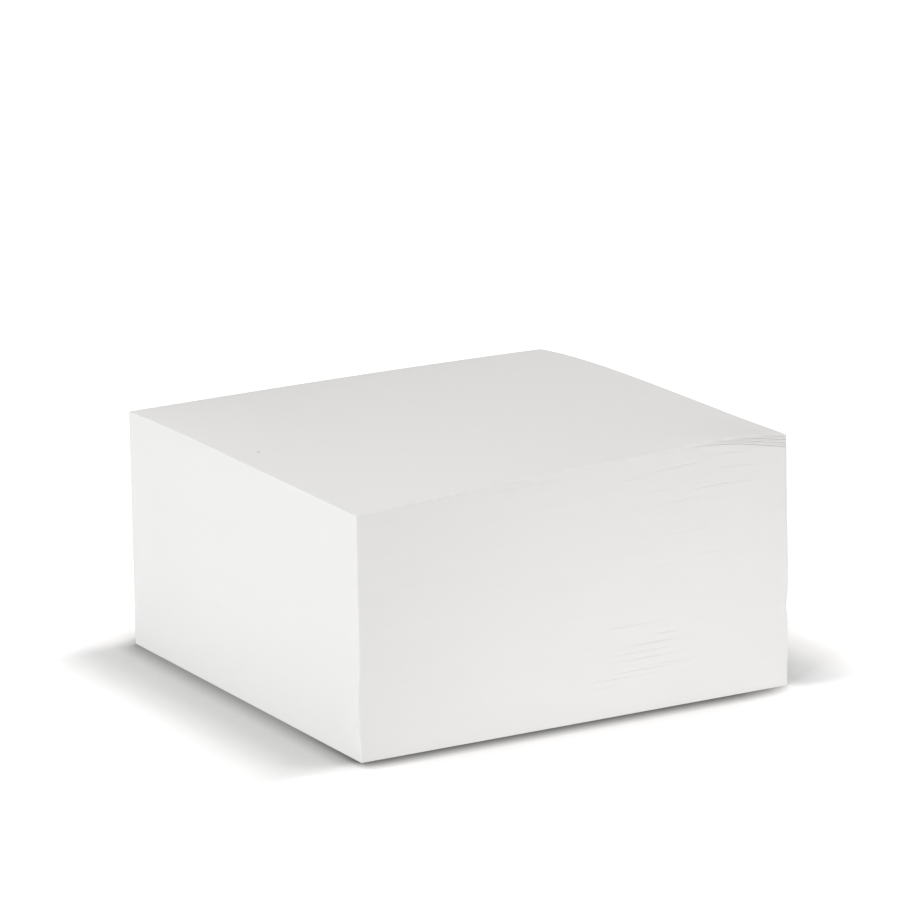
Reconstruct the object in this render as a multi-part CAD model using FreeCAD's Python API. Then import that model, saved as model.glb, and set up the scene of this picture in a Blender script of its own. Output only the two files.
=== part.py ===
import FreeCAD, Part
import math
import os

# A glued memo cube: a block of loose note sheets, held together by a film of padding adhesive on one side.
# Millimetres. The block stands on z = 0 with its sheets level. X runs from the bound side to the free side,
# and Y from the front to the back.

# The sheets
SHEET_WIDTH = 100.0
SHEET_DEPTH = 100.0
SHEET_CALIPER = 0.11
SHEET_COUNT = 463

# The film of dried adhesive on the bound side
GLUE_THICKNESS = 0.25

# The top sheet isn't flat: the stack springs open on its free side, is crowned, and droops at its corners
FREE_SIDE_RISE = 2.25
BACK_CORNER_DROOP = 2.1
DROOP_SHARPNESS = 5.5
FRONT_CROWN = 1.4
BACK_CROWN = 0.35
CROWN_SKEW = 0.25
BOUND_SIDE_CROWN = 0.65
BOUND_SIDE_SHARPNESS = 8

# The fan lifts the top sheet a little more, close to the free front corner
CORNER_LIFT = 1.1
LIFT_SETBACK = 14.0
LIFT_REACH = 12.0

# The lowest sheets stand out of the bound side at its front corner
BULGE_DEPTH = 0.45
BULGE_LEVEL = 11.0
BULGE_HALF_HEIGHT = 6.0
BULGE_REACH = 25.0

# The free side bows outwards, and a bundle of its sheets has slipped back at the front corner
BOW_DEPTH = 0.3
BOW_HALF_HEIGHT = 18.0
SLIP_DEPTH = 0.3
SLIP_LEVEL = 17.4
SLIP_HALF_HEIGHT = 2.2
SLIP_REACH = 25.0

# Where sheets part, the gap is a thin wedge: widest at the middle of its mouth, closed at its ends and tip
GAP_OPENING = 0.026
CLUSTER_OPENING = 0.038
GAP_DEPTH = 6.0

# The fan of parted sheets at the top of the free front corner. The gaps are counted down from the top sheet,
# each reaches further than the one above, and every other one is narrow. A gap is fully open at its knee.
FAN_GAPS = 7
FAN_OPENING = 0.072
FAN_NARROW_OPENING = 0.034
FAN_TOP_REACH = 9.0
FAN_REACH_STEP = 2.5
FAN_CORNER_PITCH = 0.36
FAN_END_PITCH = 0.07
FAN_KNEE = 4.0
FAN_STATIONS = 8

# The gaps partway along the walls: sheets below the gap, distance from the near corner to its middle, length.
# A cluster of them lies low in the front.
CLUSTER_GAPS = (
    (56, 43, 9), (68, 40, 30), (77, 34, 35), (82, 26, 20), (98, 33, 28), (110, 35, 25), (123, 33, 22),
    (137, 29, 9), (160, 37, 22))
FRONT_GAPS = (
    (219, 24, 11), (237, 28, 7), (258, 29, 19), (266, 18, 15), (288, 34, 6), (311, 23, 25), (368, 25, 25),
    (383, 16, 27), (396, 31, 9), (411, 12, 18), (424, 37, 12), (430, 28, 24), (436, 14, 16), (448, 63, 27),
    (459, 81, 30))
FREE_SIDE_GAPS = ((92, 61, 21), (108, 48, 16), (241, 66, 14), (352, 44, 24), (418, 57, 18))
BACK_GAPS = ((74, 30, 18), (152, 41, 12), (297, 25, 20), (405, 37, 15))
GAP_MARGIN = 0.2

# Smooth faces pass through a grid of points and run past the block before they are trimmed
GRID_STEPS = 24
FINE_GRID_STEPS = 56
OVERRUN = 4.0

stack_height = SHEET_CALIPER * SHEET_COUNT
overall_width = SHEET_WIDTH + GLUE_THICKNESS
sheet_left = GLUE_THICKNESS - overall_width / 2
sheet_right = sheet_left + SHEET_WIDTH
sheet_front = -SHEET_DEPTH / 2
sheet_back = SHEET_DEPTH / 2
gap_overhang = BOW_DEPTH + GAP_MARGIN


def bell(share):
    """1 at the middle of a bump, falling smoothly to nothing past 2."""
    return math.exp(-share * share)


def top_height(x, y):
    """Height of the top sheet above the table."""
    across = (x - sheet_left) / SHEET_WIDTH
    back = (y - sheet_front) / SHEET_DEPTH
    rise = FREE_SIDE_RISE - BACK_CORNER_DROOP * max(back, 0) ** DROOP_SHARPNESS
    crown = FRONT_CROWN + (BACK_CROWN - FRONT_CROWN) * back
    arch = 4 * across * (1 - across) * (1 + CROWN_SKEW * (2 * across - 1))
    side_arch = (1 - across) * back * (1 - abs(back) ** BOUND_SIDE_SHARPNESS)
    lift = bell((sheet_right - LIFT_SETBACK - x) / LIFT_REACH) * bell((y - sheet_front) / LIFT_REACH)
    sprung = rise * across + crown * arch + BOUND_SIDE_CROWN * side_arch + CORNER_LIFT * lift
    return stack_height + sprung


def bound_side(y, z):
    """X of the sheets' edges on the bound side."""
    bulge = bell((z - BULGE_LEVEL) / BULGE_HALF_HEIGHT) * bell((y - sheet_front) / BULGE_REACH)
    return sheet_left - BULGE_DEPTH * bulge


def free_side(y, z):
    """X of the sheets' edges on the free side."""
    bow = bell((z - stack_height / 2) / BOW_HALF_HEIGHT)
    slip = bell((z - SLIP_LEVEL) / SLIP_HALF_HEIGHT) * bell((y - sheet_front) / SLIP_REACH)
    return sheet_right + BOW_DEPTH * bow - SLIP_DEPTH * slip


def grid(low, high, steps):
    """Evenly spaced values that run past both ends by the overrun."""
    first = low - OVERRUN
    pitch = (high - low + 2 * OVERRUN) / steps
    return [first + pitch * i for i in range(steps + 1)]


def smooth_face(points):
    """A face that passes smoothly through rows of points."""
    surface = Part.BSplineSurface()
    surface.interpolate(points)
    return surface.toShape()


def below_top():
    """Everything under the top sheet."""
    columns = grid(sheet_left, sheet_right, GRID_STEPS)
    rows = grid(sheet_front, sheet_back, GRID_STEPS)
    points = [[FreeCAD.Vector(x, y, top_height(x, y)) for y in rows] for x in columns]
    depth = stack_height + FREE_SIDE_RISE + OVERRUN
    return smooth_face(points).extrude(FreeCAD.Vector(0, 0, -2 * depth))


def beyond_wall(wall_x, direction):
    """Everything on one side of a wall whose X changes with y and z."""
    rows = grid(sheet_front, sheet_back, GRID_STEPS)
    levels = grid(0, stack_height + FREE_SIDE_RISE, FINE_GRID_STEPS)
    points = [[FreeCAD.Vector(wall_x(y, z), y, z) for z in levels] for y in rows]
    return smooth_face(points).extrude(FreeCAD.Vector(2 * direction * overall_width, 0, 0))


def standing_room():
    """The space above the table between the front and the back of the sheets."""
    width = 2 * overall_width
    height = 2 * (stack_height + FREE_SIDE_RISE)
    corner = FreeCAD.Vector(-width / 2, sheet_front, 0)
    return Part.makeBox(width, SHEET_DEPTH, height, corner)


def pyramid(mouth, tip):
    """A solid with a flat mouth that closes to a tip."""
    loop = mouth + mouth[:1]
    faces = [Part.Face(Part.makePolygon(loop))]
    for start, end in zip(loop, loop[1:]):
        faces.append(Part.Face(Part.makePolygon([start, end, tip, start])))
    solid = Part.Solid(Part.Shell(faces))
    if solid.Volume < 0:
        solid.reverse()
    return solid


def on_sheet(point, sheets):
    """The point above or below this one with that many sheets under it."""
    return FreeCAD.Vector(point.x, point.y, top_height(point.x, point.y) * sheets / SHEET_COUNT)


def wall_gap(corner, along, inward, opening, gap):
    """A gap that follows its sheets, partway along a wall that starts at a corner."""
    sheets, middle, length = gap
    outside = corner - inward * gap_overhang
    centre = on_sheet(outside + along * middle, sheets)
    near_end = on_sheet(outside + along * (middle - length / 2), sheets)
    far_end = on_sheet(outside + along * (middle + length / 2), sheets)
    half_opening = FreeCAD.Vector(0, 0, opening / 2)
    mouth = [near_end, centre - half_opening, far_end, centre + half_opening]
    return pyramid(mouth, centre + inward * (gap_overhang + GAP_DEPTH))


def fan_gap(number):
    """One gap of the fan: it opens at the free front corner and closes along both walls."""
    reach = FAN_TOP_REACH + FAN_REACH_STEP * (number - 1)
    full_opening = FAN_OPENING if number % 2 else FAN_NARROW_OPENING
    corner = FreeCAD.Vector(sheet_right + gap_overhang, sheet_front - gap_overhang, 0)
    mouth = []
    for station in range(FAN_STATIONS + 1):
        share = station / FAN_STATIONS
        pitch = FAN_END_PITCH + (FAN_CORNER_PITCH - FAN_END_PITCH) * share
        opening = full_opening * min(share * reach / FAN_KNEE, 1)
        upper = corner - FreeCAD.Vector(reach * (1 - share), 0, 0)
        upper.z = top_height(upper.x, upper.y) - pitch * number
        mouth.append(upper)
        if opening > 0:
            mouth.insert(0, upper - FreeCAD.Vector(0, 0, opening))
    side_end = corner + FreeCAD.Vector(0, reach, 0)
    side_end.z = top_height(side_end.x, side_end.y) - FAN_END_PITCH * number
    return pyramid(mouth, side_end)


def all_gaps():
    """Every gap between the sheets."""
    left, right = FreeCAD.Vector(-1, 0, 0), FreeCAD.Vector(1, 0, 0)
    forwards, backwards = FreeCAD.Vector(0, -1, 0), FreeCAD.Vector(0, 1, 0)
    front_corner = FreeCAD.Vector(sheet_right, sheet_front, 0)
    back_corner = FreeCAD.Vector(sheet_right, sheet_back, 0)
    gaps = [fan_gap(number) for number in range(1, FAN_GAPS + 1)]
    gaps += [wall_gap(front_corner, left, backwards, CLUSTER_OPENING, gap) for gap in CLUSTER_GAPS]
    gaps += [wall_gap(front_corner, left, backwards, GAP_OPENING, gap) for gap in FRONT_GAPS]
    gaps += [wall_gap(front_corner, backwards, left, GAP_OPENING, gap) for gap in FREE_SIDE_GAPS]
    gaps += [wall_gap(back_corner, left, forwards, GAP_OPENING, gap) for gap in BACK_GAPS]
    return gaps


def glue_face(y, z):
    """X of the adhesive's outer face, which follows the sheets' edges."""
    return bound_side(y, z) - GLUE_THICKNESS


room = standing_room().common(below_top())
right_of_binding = beyond_wall(bound_side, 1)
paper_block = room.common(right_of_binding).common(beyond_wall(free_side, -1)).cut(all_gaps())
glue_binding = room.common(beyond_wall(glue_face, 1)).cut(right_of_binding)

os.makedirs("parts", exist_ok=True)
for name, shape in (("paper_block", paper_block), ("glue_binding", glue_binding)):
    shape.exportStep("parts/" + name + ".step")
    box = shape.optimalBoundingBox(False)
    print(name, shape.isValid(), len(shape.Solids), "solids", round(shape.Volume, 1), "mm3")
    print("  from", [round(v, 2) for v in (box.XMin, box.YMin, box.ZMin)])
    print("  to", [round(v, 2) for v in (box.XMax, box.YMax, box.ZMax)])
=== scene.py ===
import math
import random
import bmesh
import bpy
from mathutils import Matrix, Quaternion, Vector, noise


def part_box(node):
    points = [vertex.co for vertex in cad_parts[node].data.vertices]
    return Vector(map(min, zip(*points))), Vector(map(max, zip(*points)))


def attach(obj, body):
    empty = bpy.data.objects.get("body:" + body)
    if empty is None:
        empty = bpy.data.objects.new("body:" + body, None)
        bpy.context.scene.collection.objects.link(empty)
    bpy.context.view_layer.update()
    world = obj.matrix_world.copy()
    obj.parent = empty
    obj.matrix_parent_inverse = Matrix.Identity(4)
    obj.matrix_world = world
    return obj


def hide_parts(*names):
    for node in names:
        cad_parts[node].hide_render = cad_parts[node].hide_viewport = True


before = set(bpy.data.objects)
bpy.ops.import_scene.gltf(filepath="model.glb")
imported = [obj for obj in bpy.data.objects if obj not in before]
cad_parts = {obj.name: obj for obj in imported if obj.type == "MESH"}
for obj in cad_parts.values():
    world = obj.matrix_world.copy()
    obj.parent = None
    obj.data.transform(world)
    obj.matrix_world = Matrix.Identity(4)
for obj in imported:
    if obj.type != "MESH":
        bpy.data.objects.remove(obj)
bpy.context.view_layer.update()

# A glued memo cube: loose white note sheets in a block, held together by a film of padding adhesive on one
# side. X runs from the bound side to the free side, and Y from the front to the back. Each piece is shaped in
# millimetres while its sheets are still flat, then bent as the stack has sprung, then brought to metres.
MM = 1000

paper_low, paper_high = (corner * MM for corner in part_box("paper_block"))
film_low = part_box("glue_binding")[0] * MM

# The sheets
SHEET_CALIPER = 0.11
SHEET_COUNT = 463
GLUE_THICKNESS = 0.25

# How the stack has sprung: its top rises to the free side, is crowned, and droops at the back corner
FREE_SIDE_RISE = 2.25
BACK_CORNER_DROOP = 2.1
DROOP_SHARPNESS = 5.5
FRONT_CROWN = 1.4
BACK_CROWN = 0.35
CROWN_SKEW = 0.25
BOUND_SIDE_CROWN = 0.65
BOUND_SIDE_SHARPNESS = 8
# The fan lifts the top sheet a little more, close to the free front corner
CORNER_LIFT = 1.1
LIFT_SETBACK = 14.0
LIFT_REACH = 12.0
# The lowest sheets stand out of the bound side, the free side bows, and a bundle has slipped back there
BULGE_DEPTH = 0.45
BULGE_LEVEL = 11.0
BULGE_HALF_HEIGHT = 6.0
BULGE_REACH = 25.0
BOW_DEPTH = 0.3
BOW_HALF_HEIGHT = 18.0
SLIP_DEPTH = 0.3
SLIP_LEVEL = 17.4
SLIP_HALF_HEIGHT = 2.2
SLIP_REACH = 25.0

# Where sheets have parted, the gap is a thin wedge that closes at its ends and at its tip
GAP_OPENING = 0.026
CLUSTER_OPENING = 0.038
GAP_DEPTH = 6.0
GAP_MARGIN = 0.2
# The fan of gaps at the free front corner, counted down from the top sheet. Every other one is narrow.
FAN_GAPS = 7
FAN_OPENING = 0.072
FAN_NARROW_OPENING = 0.034
FAN_TOP_REACH = 9.0
FAN_REACH_STEP = 2.5
FAN_CORNER_PITCH = 0.36
FAN_END_PITCH = 0.07
FAN_KNEE = 4.0
# The gaps partway along the walls: sheets below the gap, distance from the near corner to its middle, length
CLUSTER_GAPS = (
    (56, 43, 9), (68, 40, 30), (77, 34, 35), (82, 26, 20), (98, 33, 28), (110, 35, 25), (123, 33, 22),
    (137, 29, 9), (160, 37, 22))
FRONT_GAPS = (
    (219, 24, 11), (237, 28, 7), (258, 29, 19), (266, 18, 15), (288, 34, 6), (311, 23, 25), (368, 25, 25),
    (383, 16, 27), (396, 31, 9), (411, 12, 18), (424, 37, 12), (430, 28, 24), (436, 14, 16), (448, 63, 27),
    (459, 81, 30))
FREE_SIDE_GAPS = ((92, 61, 21), (108, 48, 16), (241, 66, 14), (352, 44, 24), (418, 57, 18))
BACK_GAPS = ((74, 30, 18), (152, 41, 12), (297, 25, 20), (405, 37, 15))

# The mesh: rows of a few sheets each, and columns along each side
SHEETS_A_ROW = 4
COLUMNS = 40
SHARP_ANGLE = math.radians(12)
# A point of a gap this close to a cut counts as on it: far less than the gap is wide
CUT_TOLERANCE = GAP_OPENING / 1000
# The sheets' edges lie a few thousandths of a millimetre out of line, alone and in bundles of rows
SCATTER_SEED = 3
SHEET_SCATTER = 0.006
BUNDLE_SCATTER = 0.014
BUNDLE_ROWS = 9
SCATTER_GROWTH = 1.5

# The film of adhesive
FILM_ARRIS = 0.12
FILM_ARRIS_SEGMENTS = 3
FILM_ROWS = 64
FILM_COLUMNS = 100
FILM_RIPPLE = 0.015
FILM_RIPPLE_LENGTH = 9.0

# Camera, in metres, with its lens in millimetres
VIEW_AZIMUTH = math.radians(-29.21)
VIEW_ELEVATION = math.radians(14.576)
VIEW_ROLL = math.radians(-0.95)
VIEW_AIM = Vector((0.0016, 0.0042, 0.0452))
VIEW_DISTANCE = 1.308
LENS_MM = 251.1
SENSOR_MM = 36.0

# Studio, in metres
FLOOR_SIZE = 8.0
SKY_STRENGTH = 0.296
# The floor's glow grows with the distance from the block, and once more towards the horizon
FLOOR_GLOW = 0.2
FAR_FLOOR_GLOW = 0.45
GLOW_START = 0.015
GLOW_END = 0.12
HORIZON_GLOW = 0.6
HORIZON_GLOW_START = 0.15
HORIZON_GLOW_END = 0.5
# The glow is also painted light that shapes the painted shadow: it is stronger in front of the block and
# behind it, and weaker close beside the free side
FRONT_GLOW = 0.18
GLOW_EDGE = 0.004
FREE_SIDE_GLOW_START = 0.006
FREE_SIDE_GLOW_END = 0.027
FREE_SIDE_GLOW_REACH = 0.012
# The shadow painted on the floor is broad and soft, and darker in a thin line where the block touches it
BROAD_SHADE_REACH = 0.035
BROAD_SHADE_SOFTENING = 0.7
CONTACT_SHADE_REACH = 0.006
SHADE_SAMPLES = 8
# It is darkest right in front, fades towards both corners there, and goes on for a way along the bound side
FRONT_SHADE = 0.38
FRONT_SHADE_REACH = 0.006
BESIDE_SHADE_REACH = 0.03
BOUND_CORNER_FADE = 0.0022
FREE_CORNER_FADE = 0.0124
# Round the free front corner the painted shadow is lighter: painted light
CORNER_LIGHT = 0.45
CORNER_LIGHT_START = 0.002
CORNER_LIGHT_END = 0.012
CORNER_LIGHT_SIDE = 0.006
# A low disc that faces the block: azimuth, elevation, size, distance, watts
# (azimuth 0 is in front and 90 on the free side)
LOW_DISC = (300, 12, 0.45, 1.4, 9.07)
# Panels overhead that face down: x, y, width, depth, watts
PANEL_HEIGHT = 1.4
PANELS = {
    "panel_middle": (0.349, -0.1225, 0.26, 0.247, 5.45),
    "panel_free_side": (0.594, 0.1225, 0.29, 0.247, 3.68),
    "panel_bound_side": (-0.594, -0.1225, 0.29, 0.247, 0.89)}
# Soft pools of light from above: x, y, radius on the floor, watts
POOL_HEIGHT = 1.0
POOL_SOFTNESS = 0.05
POOLS = {"pool_beside": (-0.14, 0.05, 0.09, 13.5), "pool_near_corner": (-0.05, -0.05, 0.09, 2.01)}
# A low strip close in front, which lights the foot of the front more than its top: width, depth, watts
LOW_STRIP_PLACE = Vector((0.05, -0.12, 0.014))
LOW_STRIP = (0.16, 0.024, 0.012)

stack_height = SHEET_CALIPER * SHEET_COUNT
sheet_left = film_low.x + BULGE_DEPTH + GLUE_THICKNESS
sheet_right = paper_high.x - BOW_DEPTH
sheet_front, sheet_back = paper_low.y, paper_high.y
sheet_width = sheet_right - sheet_left
sheet_depth = sheet_back - sheet_front
rows = round(SHEET_COUNT / SHEETS_A_ROW)
gap_overhang = BOW_DEPTH + GAP_MARGIN


def bell(share):
    """1 at the middle of a bump, falling smoothly to nothing past 2."""
    return math.exp(-share * share)


def top_height(x, y):
    """Height of the top sheet above the table."""
    across = (x - sheet_left) / sheet_width
    back = (y - sheet_front) / sheet_depth
    rise = FREE_SIDE_RISE - BACK_CORNER_DROOP * max(back, 0) ** DROOP_SHARPNESS
    crown = FRONT_CROWN + (BACK_CROWN - FRONT_CROWN) * back
    arch = 4 * across * (1 - across) * (1 + CROWN_SKEW * (2 * across - 1))
    side_arch = (1 - across) * back * (1 - abs(back) ** BOUND_SIDE_SHARPNESS)
    lift = bell((sheet_right - LIFT_SETBACK - x) / LIFT_REACH) * bell((y - sheet_front) / LIFT_REACH)
    sprung = rise * across + crown * arch + BOUND_SIDE_CROWN * side_arch + CORNER_LIFT * lift
    return stack_height + sprung


def bulge(y, z):
    """How far the bound side stands out."""
    return BULGE_DEPTH * bell((z - BULGE_LEVEL) / BULGE_HALF_HEIGHT) * bell((y - sheet_front) / BULGE_REACH)


def bow(y, z):
    """How far the free side stands out."""
    slip = bell((z - SLIP_LEVEL) / SLIP_HALF_HEIGHT) * bell((y - sheet_front) / SLIP_REACH)
    return BOW_DEPTH * bell((z - stack_height / 2) / BOW_HALF_HEIGHT) - SLIP_DEPTH * slip


def bend(flat):
    """Where a point of the flat, square stack goes once the stack has sprung."""
    across = max((flat.x - sheet_left) / sheet_width, 0)
    z = flat.z * top_height(flat.x, flat.y) / stack_height
    shift = across * bow(flat.y, z) - (1 - across) * bulge(flat.y, z)
    return Vector((flat.x + shift, flat.y, z))


def box_mesh(low, high):
    """A bmesh box between two corners."""
    bm = bmesh.new()
    bmesh.ops.create_cube(bm, size=1)
    bmesh.ops.scale(bm, vec=high - low, verts=bm.verts)
    bmesh.ops.translate(bm, vec=(low + high) / 2, verts=bm.verts)
    return bm


def divide(bm, level_cuts, upright_cuts):
    """Cuts the long edges of a box into even steps, upright ones first."""
    upright = [e for e in bm.edges if abs(e.verts[0].co.z - e.verts[1].co.z) > stack_height / 2]
    bmesh.ops.subdivide_edges(bm, edges=upright, cuts=upright_cuts)
    level = [e for e in bm.edges if e.calc_length() > sheet_depth / 2]
    bmesh.ops.subdivide_edges(bm, edges=level, cuts=level_cuts, use_grid_fill=True)


def set_shading(bm):
    """Smooth faces that meet at sharp arrises."""
    for face in bm.faces:
        face.smooth = True
    for edge in bm.edges:
        edge.smooth = edge.is_manifold and edge.calc_face_angle() < SHARP_ANGLE


def to_piece(bm, name, materials):
    """Brings a bmesh to metres as an object of the scene."""
    bmesh.ops.scale(bm, vec=Vector((1, 1, 1)) / MM, verts=bm.verts)
    set_shading(bm)
    mesh = bpy.data.meshes.new(name)
    bm.to_mesh(mesh)
    bm.free()
    piece = bpy.data.objects.new(name, mesh)
    bpy.context.scene.collection.objects.link(piece)
    for material in materials:
        mesh.materials.append(material)
    return piece


def scatter():
    """For each level between rows, how far its sheets lie to the side and to the front."""
    draw = random.Random(SCATTER_SEED)
    bundles = [Vector((draw.gauss(0, 1), draw.gauss(0, 1))) * BUNDLE_SCATTER
               for _ in range(rows // BUNDLE_ROWS + 2)]
    offsets = []
    for level in range(rows + 1):
        place = level / BUNDLE_ROWS
        bundle = bundles[int(place)].lerp(bundles[int(place) + 1], place % 1)
        offsets.append(bundle + Vector((draw.gauss(0, 1), draw.gauss(0, 1))) * SHEET_SCATTER)
    return offsets


def flat_stack():
    """The stack while its sheets are flat, cut square: the guillotine leaves its arrises sharp."""
    bm = box_mesh(Vector((sheet_left, sheet_front, 0)), Vector((sheet_right, sheet_back, stack_height)))
    divide(bm, COLUMNS - 1, rows - 1)
    offsets = scatter()
    for vert in bm.verts:
        across = (vert.co.x - sheet_left) / sheet_width
        side, forward = offsets[round(vert.co.z / stack_height * rows)] * across ** SCATTER_GROWTH
        vert.co += Vector((side, forward, 0))
    return bm


def add_wedge(bm, corners):
    """A thin closed wedge between a few corners."""
    verts = [bm.verts.new(corner) for corner in corners]
    bmesh.ops.convex_hull(bm, input=verts)


def wall_wedge(corner, along, inward, opening, gap):
    """The corners of a gap partway along a wall that starts at a corner of the flat stack."""
    sheets, middle, length = gap
    level = Vector((0, 0, sheets * SHEET_CALIPER))
    centre = corner - inward * gap_overhang + along * middle + level
    half_length = along * length / 2
    half_opening = Vector((0, 0, opening / 2))
    tip = centre + inward * (gap_overhang + GAP_DEPTH)
    return [centre - half_length, centre - half_opening, centre + half_length, centre + half_opening, tip]


def fan_wedge(number):
    """The corners of one gap of the fan, which opens at the free front corner of the flat stack."""
    reach = FAN_TOP_REACH + FAN_REACH_STEP * (number - 1)
    corner = Vector((sheet_right + gap_overhang, sheet_front - gap_overhang, 0))
    front_end = corner - Vector((reach, 0, 0))
    side_end = corner + Vector((0, reach, 0))
    for end in (front_end, side_end):
        end.z = stack_height - FAN_END_PITCH * number
    corner.z = stack_height - FAN_CORNER_PITCH * number
    opening = Vector((0, 0, FAN_OPENING if number % 2 else FAN_NARROW_OPENING))
    knee = front_end.lerp(corner, FAN_KNEE / reach)
    return [front_end, knee - opening, corner - opening, corner, side_end]


def gap_wedges():
    """All the gaps in the flat stack as one mesh of wedges, divided finely enough to bend with the sheets."""
    left, right = Vector((-1, 0, 0)), Vector((1, 0, 0))
    forwards, backwards = Vector((0, -1, 0)), Vector((0, 1, 0))
    front_corner = Vector((sheet_right, sheet_front, 0))
    back_corner = Vector((sheet_right, sheet_back, 0))
    wedges = [fan_wedge(number) for number in range(1, FAN_GAPS + 1)]
    wedges += [wall_wedge(front_corner, left, backwards, CLUSTER_OPENING, gap) for gap in CLUSTER_GAPS]
    wedges += [wall_wedge(front_corner, left, backwards, GAP_OPENING, gap) for gap in FRONT_GAPS]
    wedges += [wall_wedge(front_corner, backwards, left, GAP_OPENING, gap) for gap in FREE_SIDE_GAPS]
    wedges += [wall_wedge(back_corner, left, forwards, GAP_OPENING, gap) for gap in BACK_GAPS]
    bm = bmesh.new()
    for corners in wedges:
        add_wedge(bm, corners)
    bmesh.ops.recalc_face_normals(bm, faces=bm.faces)
    step = Vector((sheet_width, sheet_depth, 0)) / COLUMNS
    for column in range(COLUMNS):
        place = Vector((sheet_left, sheet_front, 0)) + step * (column + 0.5)
        for normal in (Vector((1, 0, 0)), Vector((0, 1, 0))):
            bmesh.ops.bisect_plane(bm, geom=bm.verts[:] + bm.edges[:] + bm.faces[:], dist=CUT_TOLERANCE,
                                   plane_co=place, plane_no=normal)
    return bm


def cut_out(bm, cutter):
    """A bmesh with another one's volume cut out of it."""
    objects = []
    for part in (bm, cutter):
        mesh = bpy.data.meshes.new("cut")
        part.to_mesh(mesh)
        part.free()
        objects.append(bpy.data.objects.new("cut", mesh))
        bpy.context.scene.collection.objects.link(objects[-1])
    body, tool = objects
    modifier = body.modifiers.new("gaps", "BOOLEAN")
    modifier.operation = "DIFFERENCE"
    modifier.solver = "EXACT"
    modifier.object = tool
    evaluated = body.evaluated_get(bpy.context.evaluated_depsgraph_get())
    carved = bpy.data.meshes.new_from_object(evaluated)
    result = bmesh.new()
    result.from_mesh(carved)
    bpy.data.meshes.remove(carved)
    for each in objects:
        bpy.data.meshes.remove(each.data)
    return result


def make_sheets(sheet_face, cut_edge):
    """The stack of sheets, parted at its gaps and sprung. Its faces and its cut edges differ in material."""
    bm = cut_out(flat_stack(), gap_wedges())
    bm.normal_update()
    level = bm.verts.layers.float.new("sheet_level")
    for face in bm.faces:
        is_level = abs(face.normal.z) > 0.5
        face.material_index = 0 if is_level else 1
    for vert in bm.verts:
        vert[level] = vert.co.z
        vert.co = bend(vert.co)
    return to_piece(bm, "sheet_stack", [sheet_face, cut_edge])


def make_film(adhesive):
    """The film of adhesive on the bound side: its outer arrises are rounded, and it's faintly rippled."""
    low = Vector((sheet_left - GLUE_THICKNESS, sheet_front, 0))
    high = Vector((sheet_left, sheet_back, stack_height))
    bm = box_mesh(low, high)
    outer_arrises = [e for e in bm.edges if max(v.co.x for v in e.verts) < sheet_left - GLUE_THICKNESS / 2]
    bmesh.ops.bevel(bm, geom=outer_arrises, offset=FILM_ARRIS, affect="EDGES", segments=FILM_ARRIS_SEGMENTS,
                    profile=0.5, material=-1)
    divide(bm, FILM_COLUMNS - 1, FILM_ROWS - 1)
    for vert in bm.verts:
        outwards = (sheet_left - vert.co.x) / GLUE_THICKNESS
        ripple = FILM_RIPPLE * outwards * noise.noise(vert.co / FILM_RIPPLE_LENGTH)
        vert.co = bend(vert.co) - Vector((ripple, 0, 0))
    return to_piece(bm, "padding_film", [adhesive])


def linear(code):
    """A linear colour from an sRGB hex code."""
    channels = [int(code[i:i + 2], 16) / 255 for i in (0, 2, 4)]
    return (*(c / 12.92 if c <= 0.04045 else ((c + 0.055) / 1.055) ** 2.4 for c in channels), 1.0)


def new_material(name):
    """An empty node material."""
    material = bpy.data.materials.new(name)
    material.use_nodes = True
    material.node_tree.nodes.clear()
    return material, material.node_tree


def add_node(tree, kind, settings=None, inputs=None):
    """A node with its settings, and with its inputs set to values or linked to other nodes' outputs."""
    node = tree.nodes.new(kind)
    for name, value in (settings or {}).items():
        setattr(node, name, value)
    for name, value in (inputs or {}).items():
        if isinstance(value, bpy.types.NodeSocket):
            tree.links.new(value, node.inputs[name])
        else:
            node.inputs[name].default_value = value
    return node


def scale_for(size):
    """The scale of a noise on coordinates in metres whose features are a size in millimetres."""
    return MM / size


# Wood-free offset paper of 90 g/m2, calendered: matt, a little warm, with a faint cloudy formation and a fine
# tooth. The real tooth is too fine to show, so it is drawn coarser.
PAPER_LIGHT = "F1F0EE"
PAPER_DARK = "EFEEEC"
PAPER_ROUGHNESS = 0.9
PAPER_SPECULAR = 0.2
FORMATION_SIZE = 4.0
TOOTH_SIZE = 0.35
TOOTH_DEPTH = 0.004
# A grey speck of dust on the top sheet
SPECK_COLOUR = "6A6662"
SPECK_PLACE = Vector((-44.0, 2.9, 0))
SPECK_RADIUS = 0.2
SPECK_SOFTNESS = 0.1


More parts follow.
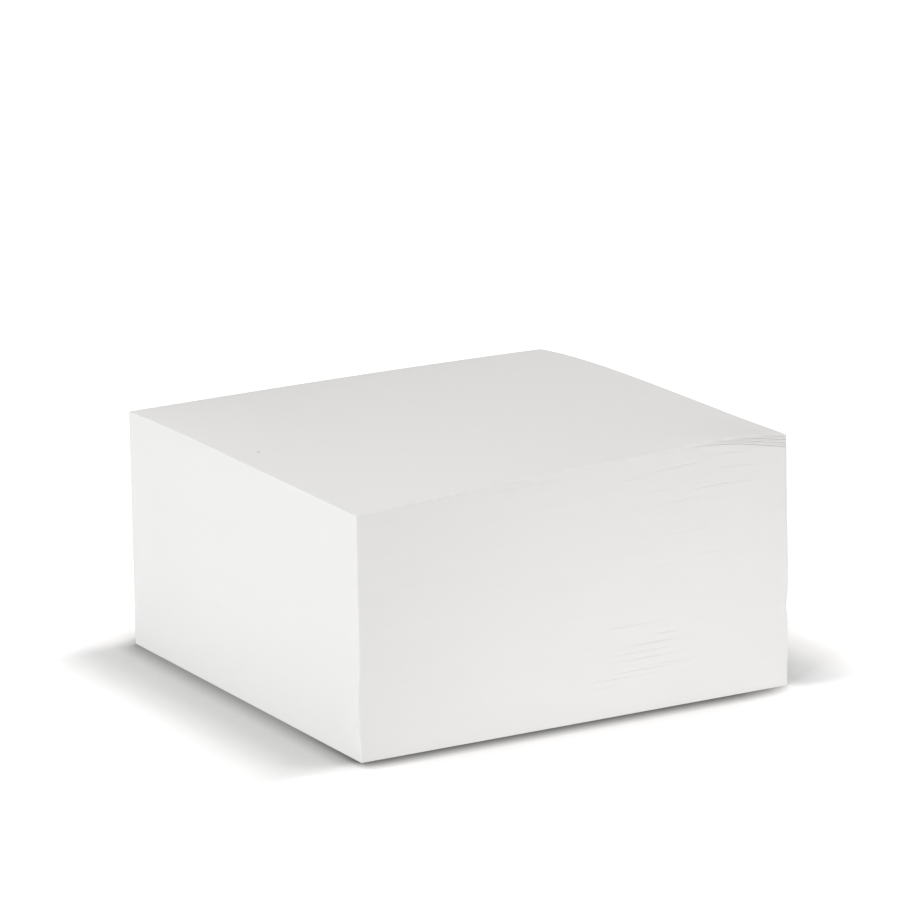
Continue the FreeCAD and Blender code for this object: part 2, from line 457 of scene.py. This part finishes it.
def offset_paper_face():
    """The face of a sheet."""
    material, tree = new_material("offset_paper_face")
    place = add_node(tree, "ShaderNodeTexCoord").outputs["Object"]
    cloud = add_node(tree, "ShaderNodeTexNoise", inputs={
        "Vector": place, "Scale": scale_for(FORMATION_SIZE), "Detail": 3.0, "Roughness": 0.6})
    paper = add_node(tree, "ShaderNodeMix", {"data_type": "RGBA"}, {
        "Factor": cloud.outputs["Fac"], "A": linear(PAPER_LIGHT), "B": linear(PAPER_DARK)})
    flat_place = add_node(tree, "ShaderNodeVectorMath", {"operation": "MULTIPLY"}, {
        0: place, 1: (MM, MM, 0)})
    from_speck = add_node(tree, "ShaderNodeVectorMath", {"operation": "DISTANCE"}, {
        0: flat_place.outputs["Vector"], 1: SPECK_PLACE})
    clean = add_node(tree, "ShaderNodeMapRange", inputs={
        "Value": from_speck.outputs["Value"], "From Min": SPECK_RADIUS - SPECK_SOFTNESS,
        "From Max": SPECK_RADIUS + SPECK_SOFTNESS})
    colour = add_node(tree, "ShaderNodeMix", {"data_type": "RGBA"}, {
        "Factor": clean.outputs["Result"], "A": linear(SPECK_COLOUR), "B": paper.outputs["Result"]})
    tooth = add_node(tree, "ShaderNodeTexNoise", inputs={
        "Vector": place, "Scale": scale_for(TOOTH_SIZE), "Detail": 2.0})
    relief = add_node(tree, "ShaderNodeBump", inputs={
        "Strength": 1.0, "Distance": TOOTH_DEPTH / MM, "Height": tooth.outputs["Fac"]})
    surface = add_node(tree, "ShaderNodeBsdfPrincipled", inputs={
        "Base Color": colour.outputs["Result"], "Roughness": PAPER_ROUGHNESS,
        "Specular IOR Level": PAPER_SPECULAR, "Normal": relief.outputs["Normal"]})
    add_node(tree, "ShaderNodeOutputMaterial", inputs={"Surface": surface.outputs["BSDF"]})
    return material


# The guillotined edges of the same paper: fine level streaks, where each sheet was cut a little differently,
# and broader ones for bundles. A sheet is too thin to show, so a fine streak is as high as four.
STREAK_HEIGHT = SHEET_CALIPER * 4
STREAK_LENGTH = 30.0
BUNDLE_HEIGHT = 3.0
STREAK_DEPTH = 0.004
EDGE_ROUGHNESS = 0.95


def guillotined_edge():
    """The edges of the sheets."""
    material, tree = new_material("offset_paper_guillotined_edge")
    place = add_node(tree, "ShaderNodeTexCoord").outputs["Object"]
    level = add_node(tree, "ShaderNodeAttribute", {"attribute_name": "sheet_level"}).outputs["Fac"]
    sides = add_node(tree, "ShaderNodeSeparateXYZ", inputs={"Vector": place})
    along = add_node(tree, "ShaderNodeMath", {"operation": "SUBTRACT"}, {
        0: sides.outputs["X"], 1: sides.outputs["Y"]})
    stretched = add_node(tree, "ShaderNodeMath", {"operation": "MULTIPLY"}, {
        0: along.outputs["Value"], 1: MM / STREAK_LENGTH})
    streaks = []
    for height in (STREAK_HEIGHT, BUNDLE_HEIGHT):
        step = add_node(tree, "ShaderNodeMath", {"operation": "DIVIDE"}, {0: level, 1: height})
        where = add_node(tree, "ShaderNodeCombineXYZ", inputs={
            "X": stretched.outputs["Value"], "Z": step.outputs["Value"]})
        streaks.append(add_node(tree, "ShaderNodeTexNoise", inputs={
            "Vector": where.outputs["Vector"], "Scale": 1.0, "Detail": 1.0}).outputs["Fac"])
    both = add_node(tree, "ShaderNodeMath", {"operation": "ADD"}, {0: streaks[0], 1: streaks[1]})
    # The two noises together stay round 1
    share = add_node(tree, "ShaderNodeMapRange", inputs={
        "Value": both.outputs["Value"], "From Min": 0.5, "From Max": 1.5})
    colour = add_node(tree, "ShaderNodeMix", {"data_type": "RGBA"}, {
        "Factor": share.outputs["Result"], "A": linear(PAPER_DARK), "B": linear(PAPER_LIGHT)})
    relief = add_node(tree, "ShaderNodeBump", inputs={
        "Strength": 1.0, "Distance": STREAK_DEPTH / MM, "Height": streaks[0]})
    surface = add_node(tree, "ShaderNodeBsdfPrincipled", inputs={
        "Base Color": colour.outputs["Result"], "Roughness": EDGE_ROUGHNESS,
        "Specular IOR Level": PAPER_SPECULAR, "Normal": relief.outputs["Normal"]})
    add_node(tree, "ShaderNodeOutputMaterial", inputs={"Surface": surface.outputs["BSDF"]})
    return material


# White padding adhesive, brushed on and dried: smoother than the paper, with a soft sheen and faint marks of
# the brush, which run along the stack
FILM_ROUGHNESS = 0.6
FILM_SPECULAR = 0.25
BRUSH_MARK_HEIGHT = 1.2
BRUSH_MARK_LENGTH = 20.0
BRUSH_MARK_DEPTH = 0.006


def padding_adhesive():
    """The dried film of padding adhesive."""
    material, tree = new_material("dried_padding_adhesive")
    place = add_node(tree, "ShaderNodeTexCoord").outputs["Object"]
    drawn_out = add_node(tree, "ShaderNodeMapping", {"vector_type": "POINT"}, {
        "Vector": place, "Scale": (1, BRUSH_MARK_HEIGHT / BRUSH_MARK_LENGTH, 1)})
    marks = add_node(tree, "ShaderNodeTexNoise", inputs={
        "Vector": drawn_out.outputs["Vector"], "Scale": scale_for(BRUSH_MARK_HEIGHT), "Detail": 2.0})
    colour = add_node(tree, "ShaderNodeMix", {"data_type": "RGBA"}, {
        "Factor": marks.outputs["Fac"], "A": linear("F0F0EF"), "B": linear("EFEFEE")})
    relief = add_node(tree, "ShaderNodeBump", inputs={
        "Strength": 1.0, "Distance": BRUSH_MARK_DEPTH / MM, "Height": marks.outputs["Fac"]})
    surface = add_node(tree, "ShaderNodeBsdfPrincipled", inputs={
        "Base Color": colour.outputs["Result"], "Roughness": FILM_ROUGHNESS,
        "Specular IOR Level": FILM_SPECULAR, "Normal": relief.outputs["Normal"]})
    add_node(tree, "ShaderNodeOutputMaterial", inputs={"Surface": surface.outputs["BSDF"]})
    return material


def seen_directly(tree):
    """1 for rays that show the background as it is, 0 for the light it gives."""
    rays = add_node(tree, "ShaderNodeLightPath").outputs
    mirrored = add_node(tree, "ShaderNodeMath", {"operation": "MAXIMUM"}, {
        0: rays["Is Glossy Ray"], 1: rays["Is Transmission Ray"]})
    either = add_node(tree, "ShaderNodeMath", {"operation": "MAXIMUM"}, {
        0: rays["Is Camera Ray"], 1: mirrored.outputs["Value"]})
    return either.outputs["Value"]


def build_up(tree, steps):
    """A value in steps: each goes evenly from low to high between two places, and joins those before it."""
    total = 0.0
    for operation, place, start, end, low, high in steps:
        step = add_node(tree, "ShaderNodeMapRange", inputs={
            "Value": place, "From Min": start, "From Max": end, "To Min": low, "To Max": high})
        joined = add_node(tree, "ShaderNodeMath", {"operation": operation}, {
            0: total, 1: step.outputs["Result"]})
        total = joined.outputs["Value"]
    return total


def floor_glow(tree, side, away, beyond):
    """How strongly the sweep glows: more and more away from the block, and most in front and behind, where it
    is painted light that shapes the painted shadow.

    Side is X, away the distance from the block, and beyond the distance in front of it or behind it.
    """
    half = sheet_width / 2 / MM
    return build_up(tree, (
        ("ADD", side, half, half + GLOW_EDGE, FLOOR_GLOW, 0.0),
        ("MAXIMUM", beyond, 0.0, FREE_SIDE_GLOW_REACH, 0.0, FLOOR_GLOW),
        ("ADD", away, GLOW_START, GLOW_END, 0.0, FAR_FLOOR_GLOW - FLOOR_GLOW),
        ("MAXIMUM", side, half + FREE_SIDE_GLOW_START, half + FREE_SIDE_GLOW_END, 0.0, FAR_FLOOR_GLOW),
        ("ADD", beyond, 0.0, GLOW_EDGE, 0.0, FRONT_GLOW),
        ("ADD", away, HORIZON_GLOW_START, HORIZON_GLOW_END, 0.0, HORIZON_GLOW)))


def painted_floor_shadow(tree, side, before):
    """How much light the sweep keeps where the block stands on it: a painted shadow.

    Side is X, and before the distance in front of the block.
    """
    half = sheet_width / 2 / MM
    near_front = build_up(tree, (
        ("ADD", side, -half - BOUND_CORNER_FADE, -half, 0.0, 1.0),
        ("MULTIPLY", side, half - FREE_CORNER_FADE, half, 1.0, 0.0),
        ("MULTIPLY", before, -BESIDE_SHADE_REACH, 0.0, 0.0, 1.0),
        ("MULTIPLY", before, 0.0, FRONT_SHADE_REACH, 1.0, 0.0)))
    front = build_up(tree, (("ADD", near_front, 0.0, 1.0, 1.0, FRONT_SHADE),))
    past_side = add_node(tree, "ShaderNodeMath", {"operation": "SUBTRACT"}, {0: side, 1: half})
    to_side, to_front = [
        add_node(tree, "ShaderNodeMath", {"operation": "ABSOLUTE"}, {0: offset}).outputs["Value"]
        for offset in (past_side.outputs["Value"], before)]
    from_corner = add_node(tree, "ShaderNodeMath", {"operation": "MAXIMUM"}, {0: to_side, 1: to_front})
    # Painted light: the painted shadow is lightened round the free front corner
    corner_light = build_up(tree, (
        ("ADD", from_corner.outputs["Value"], CORNER_LIGHT_START, CORNER_LIGHT_END, CORNER_LIGHT, 0.0),
        ("MULTIPLY", side, half - CORNER_LIGHT_SIDE, half, 0.0, 1.0)))
    strength = add_node(tree, "ShaderNodeMath", {"operation": "SUBTRACT"}, {0: 1.0, 1: corner_light})
    # Painted shade: the sweep darkens where nearby geometry hides it from the sky
    broad, contact = [
        add_node(tree, "ShaderNodeAmbientOcclusion", {"samples": SHADE_SAMPLES}, {
            "Distance": reach}).outputs["AO"]
        for reach in (BROAD_SHADE_REACH, CONTACT_SHADE_REACH)]
    shade = broad
    for operation, value in (
            ("POWER", BROAD_SHADE_SOFTENING), ("MULTIPLY", contact), ("MULTIPLY", front),
            ("POWER", strength.outputs["Value"])):
        shade = add_node(tree, "ShaderNodeMath", {"operation": operation}, {
            0: shade, 1: value}).outputs["Value"]
    return shade


def studio_floor():
    """The white sweep: it glows a little to the eye, so that it clips to white, but not under the block,
    where a shadow is painted on it.
    """
    material, tree = new_material("matt_white_sweep")
    plain = add_node(tree, "ShaderNodeBsdfDiffuse", inputs={"Color": linear("F9F9F9")})
    place = add_node(tree, "ShaderNodeTexCoord").outputs["Object"]
    sides = add_node(tree, "ShaderNodeSeparateXYZ", inputs={"Vector": place}).outputs
    before = add_node(tree, "ShaderNodeMath", {"operation": "SUBTRACT"}, {
        0: -sheet_depth / 2 / MM, 1: sides["Y"]}).outputs["Value"]
    mirrored = add_node(tree, "ShaderNodeVectorMath", {"operation": "ABSOLUTE"}, {0: place})
    half = (sheet_width / 2 / MM, sheet_depth / 2 / MM, 0)
    past_edge = add_node(tree, "ShaderNodeVectorMath", {"operation": "SUBTRACT"}, {
        0: mirrored.outputs["Vector"], 1: half})
    outside = add_node(tree, "ShaderNodeVectorMath", {"operation": "MAXIMUM"}, {
        0: past_edge.outputs["Vector"], 1: (0, 0, 0)}).outputs["Vector"]
    away = add_node(tree, "ShaderNodeVectorMath", {"operation": "LENGTH"}, {0: outside}).outputs["Value"]
    beyond = add_node(tree, "ShaderNodeSeparateXYZ", inputs={"Vector": outside}).outputs["Y"]
    glow = add_node(tree, "ShaderNodeEmission", inputs={
        "Color": linear("FFFCFA"), "Strength": floor_glow(tree, sides["X"], away, beyond)})
    lit = add_node(tree, "ShaderNodeAddShader", inputs={
        0: plain.outputs["BSDF"], 1: glow.outputs["Emission"]})
    black = add_node(tree, "ShaderNodeBsdfDiffuse", inputs={"Color": linear("000000")})
    # The block's shadow on the sweep is painted: its colour is darkened round the block
    shaded = add_node(tree, "ShaderNodeMixShader", inputs={
        0: painted_floor_shadow(tree, sides["X"], before), 1: black.outputs["BSDF"], 2: lit.outputs["Shader"]})
    seen = add_node(tree, "ShaderNodeMixShader", inputs={
        0: seen_directly(tree), 1: plain.outputs["BSDF"], 2: shaded.outputs["Shader"]})
    add_node(tree, "ShaderNodeOutputMaterial", inputs={"Surface": seen.outputs["Shader"]})
    return material


def make_floor():
    """A wide floor under the block."""
    bm = bmesh.new()
    bmesh.ops.create_grid(bm, x_segments=1, y_segments=1, size=FLOOR_SIZE / 2)
    mesh = bpy.data.meshes.new("floor")
    bm.to_mesh(mesh)
    bm.free()
    mesh.materials.append(studio_floor())
    floor = bpy.data.objects.new("floor", mesh)
    bpy.context.scene.collection.objects.link(floor)
    return floor


def make_world():
    """White to the eye, and a soft even light on the block."""
    world = bpy.data.worlds.new("studio")
    world.use_nodes = True
    tree = world.node_tree
    tree.nodes.clear()
    strength = add_node(tree, "ShaderNodeMapRange", inputs={
        "Value": seen_directly(tree), "To Min": SKY_STRENGTH, "To Max": 1.0})
    sky = add_node(tree, "ShaderNodeBackground", inputs={
        "Color": linear("FFFFFF"), "Strength": strength.outputs["Result"]})
    add_node(tree, "ShaderNodeOutputWorld", inputs={"Surface": sky.outputs["Background"]})
    bpy.context.scene.world = world


def towards(azimuth, elevation):
    """The direction from the block to something round it."""
    level = math.cos(elevation)
    return Vector((math.sin(azimuth) * level, -math.cos(azimuth) * level, math.sin(elevation)))


def place_facing(thing, direction, aim, distance, roll=0.0):
    """Sets a lamp or the camera at a distance from what it points at."""
    thing.rotation_mode = "QUATERNION"
    thing.rotation_quaternion = direction.to_track_quat("Z", "Y") @ Quaternion((0, 0, 1), roll)
    thing.location = aim + direction * distance
    bpy.context.scene.collection.objects.link(thing)


def area_lamp(name, shape, size, depth, watts):
    """A flat soft lamp."""
    data = bpy.data.lights.new(name, "AREA")
    data.shape = shape
    data.size = size
    data.size_y = depth
    data.energy = watts
    return bpy.data.objects.new(name, data)


def make_lamps():
    """A low disc on the bound side, panels overhead, two soft pools and a low strip in front."""
    azimuth, elevation, size, distance, watts = LOW_DISC
    disc = area_lamp("low_disc", "DISK", size, size, watts)
    place_facing(disc, towards(math.radians(azimuth), math.radians(elevation)), Vector((0, 0, 0)), distance)
    for name, (x, y, width, depth, watts) in PANELS.items():
        lamp = area_lamp(name, "RECTANGLE", width, depth, watts)
        place_facing(lamp, Vector((0, 0, 1)), Vector((x, y, 0)), PANEL_HEIGHT)
    for name, (x, y, radius, watts) in POOLS.items():
        data = bpy.data.lights.new(name, "SPOT")
        data.spot_size = 2 * math.atan(radius / POOL_HEIGHT)
        data.spot_blend = 1
        data.shadow_soft_size = POOL_SOFTNESS
        data.energy = watts
        place_facing(bpy.data.objects.new(name, data), Vector((0, 0, 1)), Vector((x, y, 0)), POOL_HEIGHT)
    strip = area_lamp("low_strip", "RECTANGLE", *LOW_STRIP)
    strip.visible_camera = False
    place_facing(strip, Vector((0, -1, 0)), LOW_STRIP_PLACE, 0.0)


def make_camera():
    """The camera, which looks down on the block's bound front corner."""
    data = bpy.data.cameras.new("product_camera")
    data.lens = LENS_MM
    data.sensor_width = SENSOR_MM
    camera = bpy.data.objects.new("product_camera", data)
    place_facing(camera, towards(VIEW_AZIMUTH, VIEW_ELEVATION), VIEW_AIM, VIEW_DISTANCE, VIEW_ROLL)
    bpy.context.scene.camera = camera


make_camera()
make_world()
make_lamps()
make_floor()

sheets = make_sheets(offset_paper_face(), guillotined_edge())
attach(sheets, "root")
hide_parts("paper_block")

film = make_film(padding_adhesive())
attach(film, "root")
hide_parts("glue_binding")

bpy.context.scene.view_settings.view_transform = "Standard"
